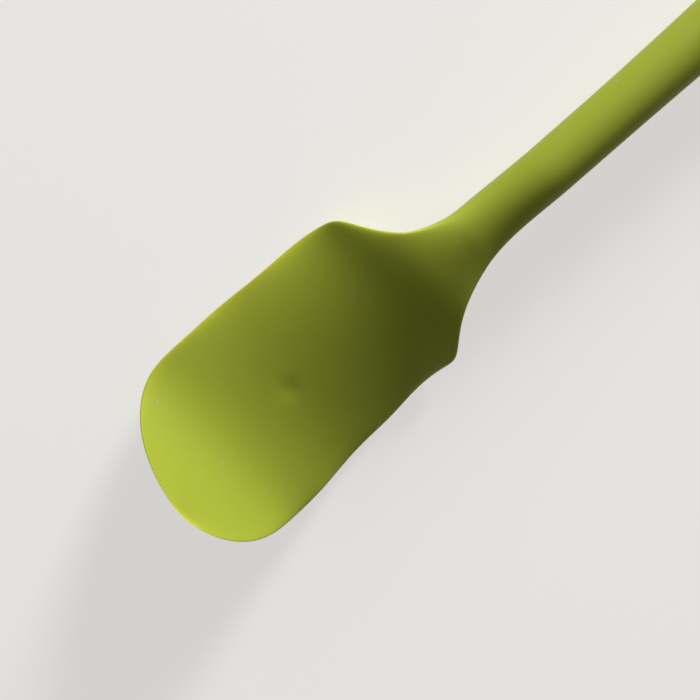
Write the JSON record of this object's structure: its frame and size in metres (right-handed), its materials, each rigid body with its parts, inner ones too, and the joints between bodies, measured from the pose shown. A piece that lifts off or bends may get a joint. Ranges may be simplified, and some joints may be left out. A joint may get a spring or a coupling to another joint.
{
  "type": "silicone scoop spatula",
  "caption": "Seamless silicone spatula with a long round handle, flared neck and a broad blade that curls up into a shallow scoop at its rounded tip.",
  "frame": {"origin": "bottom centre of the bounding box, on the surface the spatula lies on", "axes": "+X along the handle towards the blade's tip, +Z out of the scoop's open face, +Y across the blade"},
  "size_m": [0.2794, 0.0638, 0.0287],
  "materials": {
    "silicone": "matt lime green silicone with a soft sheen",
    "nylon_core": "unpainted glass-filled nylon, hidden",
    "steel_strip": "stamped stainless steel, hidden"
  },
  "bodies": {
    "root": {"silicone_overmould": "silicone", "handle_core": "nylon_core", "steel_spine": "steel_strip"}
  },
  "joints": []
}
